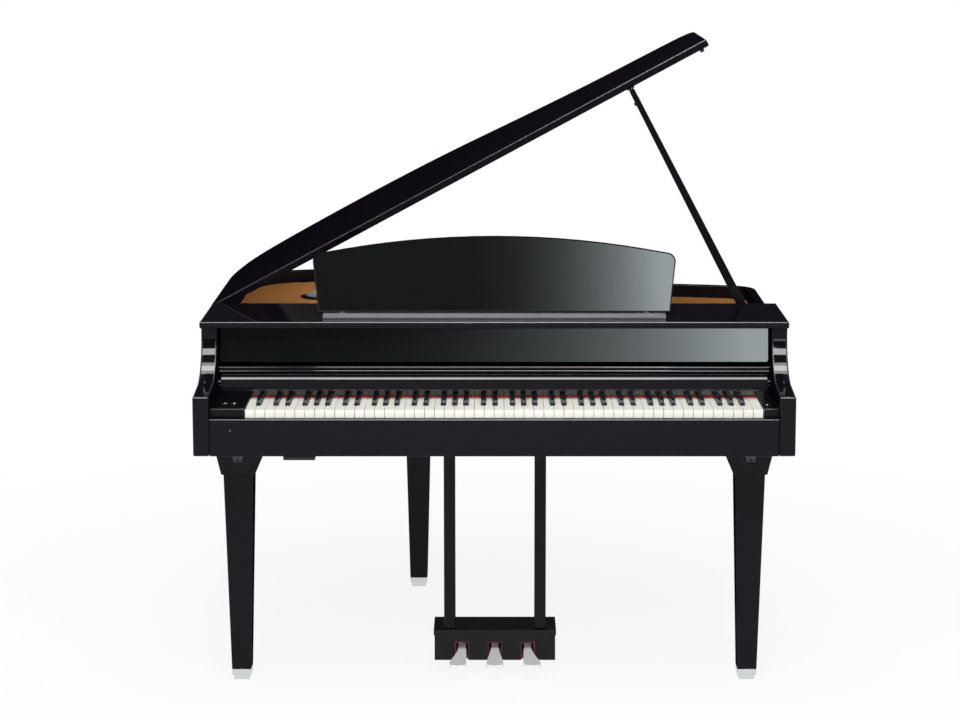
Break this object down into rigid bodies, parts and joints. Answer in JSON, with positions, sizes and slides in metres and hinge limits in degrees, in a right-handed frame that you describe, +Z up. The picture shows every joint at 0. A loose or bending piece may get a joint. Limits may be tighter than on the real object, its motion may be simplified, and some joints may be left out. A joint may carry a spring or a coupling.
{
  "type": "digital grand piano",
  "caption": "Compact digital grand piano in polished black with a propped side lid, folding music desk, sliding key cover, tapered legs and a pedal lyre.",
  "frame": {"origin": "on the floor, under the middle of the overall width and depth", "axes": "+X to the player's right, +Y from the keyboard to the tail, +Z up"},
  "size_m": [1.4338, 1.2156, 1.5775],
  "materials": {
    "gloss_black": "board in high-gloss black polyester lacquer",
    "satin_black": "satin black",
    "board_black": "board painted flat black",
    "spruce": "clear-lacquered spruce veneer",
    "white_key": "smooth acrylic",
    "black_key": "matt black plastic",
    "nickel": "polished nickel",
    "ferrule_metal": "satin bright",
    "brass": "polished brass",
    "bracket_steel": "plated steel",
    "stay_steel": "black-coated steel wire",
    "pressed_steel": "grey pressed steel",
    "speaker_black": "moulded black ring and cone",
    "buffer_rubber": "soft rubber",
    "circuit_green": "solder-masked board"
  },
  "bodies": {
    "case": {"case_rim": "gloss_black", "arm_left": "gloss_black", "arm_right": "gloss_black", "keybed": "board_black", "bottom_board": "board_black", "top_deck": "gloss_black", "soundboard": "spruce", "name_panel": "gloss_black", "cover_rail": "gloss_black", "fallboard_strip": "gloss_black", "keyslip": "gloss_black", "control_panel_left": "satin_black", "control_panel_right": "satin_black", "key_frame": "pressed_steel", "headphone_box": "satin_black", "main_board": "circuit_green", "speaker_left": "speaker_black", "speaker_right": "speaker_black", "leg_front_left": "gloss_black", "leg_front_right": "gloss_black", "leg_rear": "gloss_black", "ferrule_front_left": "ferrule_metal", "ferrule_front_right": "ferrule_metal", "ferrule_rear": "ferrule_metal", "lyre_post_left": "gloss_black", "lyre_post_right": "gloss_black", "pedal_box": "satin_black", "lid_hinge_case_leaf": "brass", "prop_bracket": "bracket_steel", "desk_ledge": "gloss_black"},
    "key_cover": {"key_cover": "gloss_black"},
    "lid": {"lid": "gloss_black", "lid_hinge_lid_leaf": "brass", "prop_cup": "satin_black", "lid_buffer": "buffer_rubber"},
    "lid_prop": {"lid_prop": "gloss_black"},
    "music_desk": {"music_desk": "gloss_black"},
    "desk_stay": {"desk_stay": "stay_steel"},
    "pedal_left": {"pedal_left": "nickel"},
    "pedal_middle": {"pedal_middle": "nickel"},
    "pedal_right": {"pedal_right": "nickel"},
    "panel_button_left": {"panel_button_left": "nickel"},
    "panel_button_right": {"panel_button_right": "nickel"},
    "power_button": {"power_button": "nickel"},
    "sharp_key_a": {"sharp_key_a": "black_key"},
    "sharp_key_c": {"sharp_key_c": "black_key"},
    "sharp_key_d": {"sharp_key_d": "black_key"},
    "sharp_key_f": {"sharp_key_f": "black_key"},
    "sharp_key_g": {"sharp_key_g": "black_key"},
    "sharp_keys_bass": {"sharp_keys_bass": "black_key"},
    "sharp_keys_treble": {"sharp_keys_treble": "black_key"},
    "white_key_a": {"white_key_a": "white_key"},
    "white_key_b": {"white_key_b": "white_key"},
    "white_key_c": {"white_key_c": "white_key"},
    "white_key_d": {"white_key_d": "white_key"},
    "white_key_e": {"white_key_e": "white_key"},
    "white_key_f": {"white_key_f": "white_key"},
    "white_key_g": {"white_key_g": "white_key"},
    "white_keys_bass": {"white_keys_bass": "white_key"},
    "white_keys_treble": {"white_keys_treble": "white_key"}
  },
  "joints": [
    {"name": "key_cover_slide", "type": "slide", "parent": "case", "child": "key_cover", "axis": [0, -1, 0], "range_m": [0, 0.135]},
    {"name": "lid_hinge", "type": "hinge", "parent": "case", "child": "lid", "pos_m": [-0.70239, -0.08779, 0.8837], "axis": [0, 1, 0], "range_deg": [0, 28.4]},
    {"name": "lid_prop_fold", "type": "hinge", "parent": "case", "child": "lid_prop", "pos_m": [0.64911, -0.15429, 0.8695], "axis": [0, -1, 0], "range_deg": [0, 62.6]},
    {"name": "music_desk_fold", "type": "hinge", "parent": "case", "child": "music_desk", "pos_m": [0.00411, -0.35579, 0.9295], "axis": [-1, 0, 0], "range_deg": [0, 67]},
    {"name": "music_desk_stay", "type": "hinge", "parent": "music_desk", "child": "desk_stay", "pos_m": [0.00411, -0.31655, 0.99993], "axis": [1, 0, 0], "range_deg": [0, 133]},
    {"name": "pedal_left_press", "type": "hinge", "parent": "case", "child": "pedal_left", "pos_m": [-0.07639, -0.27279, 0.08], "axis": [1, 0, 0], "range_deg": [0, 3.5], "stiffness_Nm_per_rad": 30, "springref_deg": -5.73},
    {"name": "pedal_middle_press", "type": "hinge", "parent": "case", "child": "pedal_middle", "pos_m": [0.00561, -0.27279, 0.08], "axis": [1, 0, 0], "range_deg": [0, 3.5], "stiffness_Nm_per_rad": 30, "springref_deg": -5.73},
    {"name": "pedal_right_press", "type": "hinge", "parent": "case", "child": "pedal_right", "pos_m": [0.08761, -0.27279, 0.08], "axis": [1, 0, 0], "range_deg": [0, 3.5], "stiffness_Nm_per_rad": 30, "springref_deg": -5.73},
    {"name": "panel_button_left_press", "type": "slide", "parent": "case", "child": "panel_button_left", "axis": [0, 0, -1], "range_m": [0, 0.0015], "stiffness_N_per_m": 300, "springref_m": -0.003},
    {"name": "panel_button_right_press", "type": "slide", "parent": "case", "child": "panel_button_right", "axis": [0, 0, -1], "range_m": [0, 0.0015], "stiffness_N_per_m": 300, "springref_m": -0.003},
    {"name": "power_button_press", "type": "slide", "parent": "case", "child": "power_button", "axis": [0, 0, -1], "range_m": [0, 0.0015], "stiffness_N_per_m": 300, "springref_m": -0.003},
    {"name": "sharp_key_a_press", "type": "hinge", "parent": "case", "child": "sharp_key_a", "pos_m": [0.10151, -0.30979, 0.716], "axis": [1, 0, 0], "range_deg": [0, 2.1], "stiffness_Nm_per_rad": 2, "springref_deg": -11.46},
    {"name": "sharp_key_c_press", "type": "hinge", "parent": "case", "child": "sharp_key_c", "pos_m": [-0.02199, -0.30979, 0.716], "axis": [1, 0, 0], "range_deg": [0, 2.1], "stiffness_Nm_per_rad": 2, "springref_deg": -11.46},
    {"name": "sharp_key_d_press", "type": "hinge", "parent": "case", "child": "sharp_key_d", "pos_m": [0.00601, -0.30979, 0.716], "axis": [1, 0, 0], "range_deg": [0, 2.1], "stiffness_Nm_per_rad": 2, "springref_deg": -11.46},
    {"name": "sharp_key_f_press", "type": "hinge", "parent": "case", "child": "sharp_key_f", "pos_m": [0.04771, -0.30979, 0.716], "axis": [1, 0, 0], "range_deg": [0, 2.1], "stiffness_Nm_per_rad": 2, "springref_deg": -11.46},
    {"name": "sharp_key_g_press", "type": "hinge", "parent": "case", "child": "sharp_key_g", "pos_m": [0.07461, -0.30979, 0.716], "axis": [1, 0, 0], "range_deg": [0, 2.1], "stiffness_Nm_per_rad": 2, "springref_deg": -11.46},
    {"name": "sharp_keys_bass_press", "type": "hinge", "parent": "case", "child": "sharp_keys_bass", "pos_m": [-0.31149, -0.30979, 0.716], "axis": [1, 0, 0], "range_deg": [0, 2.1], "stiffness_Nm_per_rad": 32, "springref_deg": -11.46},
    {"name": "sharp_keys_treble_press", "type": "hinge", "parent": "case", "child": "sharp_keys_treble", "pos_m": [0.37016, -0.30979, 0.716], "axis": [1, 0, 0], "range_deg": [0, 2.1], "stiffness_Nm_per_rad": 30, "springref_deg": -11.46},
    {"name": "white_key_a_press", "type": "hinge", "parent": "case", "child": "white_key_a", "pos_m": [0.08641, -0.30979, 0.716], "axis": [1, 0, 0], "range_deg": [0, 2.1], "stiffness_Nm_per_rad": 2, "springref_deg": -11.46},
    {"name": "white_key_b_press", "type": "hinge", "parent": "case", "child": "white_key_b", "pos_m": [0.11001, -0.30979, 0.716], "axis": [1, 0, 0], "range_deg": [0, 2.1], "stiffness_Nm_per_rad": 2, "springref_deg": -11.46},
    {"name": "white_key_c_press", "type": "hinge", "parent": "case", "child": "white_key_c", "pos_m": [-0.03159, -0.30979, 0.716], "axis": [1, 0, 0], "range_deg": [0, 2.1], "stiffness_Nm_per_rad": 2, "springref_deg": -11.46},
    {"name": "white_key_d_press", "type": "hinge", "parent": "case", "child": "white_key_d", "pos_m": [-0.00799, -0.30979, 0.716], "axis": [1, 0, 0], "range_deg": [0, 2.1], "stiffness_Nm_per_rad": 2, "springref_deg": -11.46},
    {"name": "white_key_e_press", "type": "hinge", "parent": "case", "child": "white_key_e", "pos_m": [0.01561, -0.30979, 0.716], "axis": [1, 0, 0], "range_deg": [0, 2.1], "stiffness_Nm_per_rad": 2, "springref_deg": -11.46},
    {"name": "white_key_f_press", "type": "hinge", "parent": "case", "child": "white_key_f", "pos_m": [0.03921, -0.30979, 0.716], "axis": [1, 0, 0], "range_deg": [0, 2.1], "stiffness_Nm_per_rad": 2, "springref_deg": -11.46},
    {"name": "white_key_g_press", "type": "hinge", "parent": "case", "child": "white_key_g", "pos_m": [0.06281, -0.30979, 0.716], "axis": [1, 0, 0], "range_deg": [0, 2.1], "stiffness_Nm_per_rad": 2, "springref_deg": -11.46},
    {"name": "white_keys_bass_press", "type": "hinge", "parent": "case", "child": "white_keys_bass", "pos_m": [-0.31479, -0.30979, 0.716], "axis": [1, 0, 0], "range_deg": [0, 2.1], "stiffness_Nm_per_rad": 46, "springref_deg": -11.46},
    {"name": "white_keys_treble_press", "type": "hinge", "parent": "case", "child": "white_keys_treble", "pos_m": [0.38141, -0.30979, 0.716], "axis": [1, 0, 0], "range_deg": [0, 2.1], "stiffness_Nm_per_rad": 44, "springref_deg": -11.46}
  ],
  "couplings": [
    {"joint": "lid_prop_fold", "follows": "lid_hinge", "ratio": 2.2042},
    {"joint": "music_desk_stay", "follows": "music_desk_fold", "ratio": 1.9851}
  ]
}
